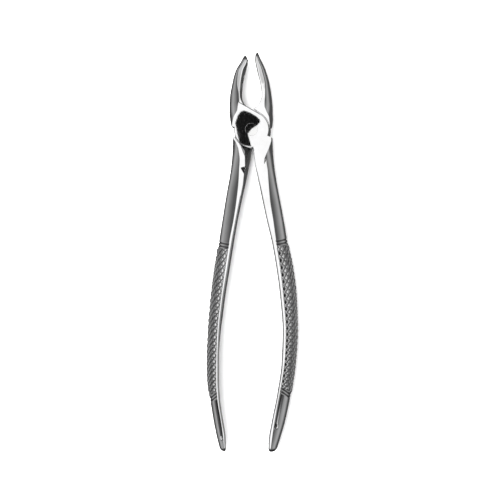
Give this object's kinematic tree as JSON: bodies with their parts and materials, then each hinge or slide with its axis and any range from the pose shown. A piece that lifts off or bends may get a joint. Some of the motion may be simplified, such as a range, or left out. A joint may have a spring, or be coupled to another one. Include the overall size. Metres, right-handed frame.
{
  "type": "extraction forceps",
  "caption": "Straight dental extraction forceps with gouge-shaped beaks, a half-lap screw joint and chequered handles, lying on its back.",
  "frame": {"origin": "on the pivot axis, at the joint's flat back face that the forceps rests on", "axes": "+Y along the forceps from the handles to the beaks, +Z along the pivot towards the screw's head, +X towards the right handle"},
  "size_m": [0.0407, 0.1754, 0.011],
  "materials": {
    "polished_steel": "mirror-polished stainless steel, chequered grips",
    "screw_steel": "stainless steel ground flush and polished"
  },
  "bodies": {
    "back": {"back_half": "polished_steel", "joint_screw": "screw_steel"},
    "front": {"front_half": "polished_steel"}
  },
  "joints": [
    {"name": "pivot", "type": "hinge", "parent": "back", "child": "front", "pos_m": [0, 0, 0.0055], "axis": [0, 0, 1], "range_deg": [-4.5, 24]}
  ]
}
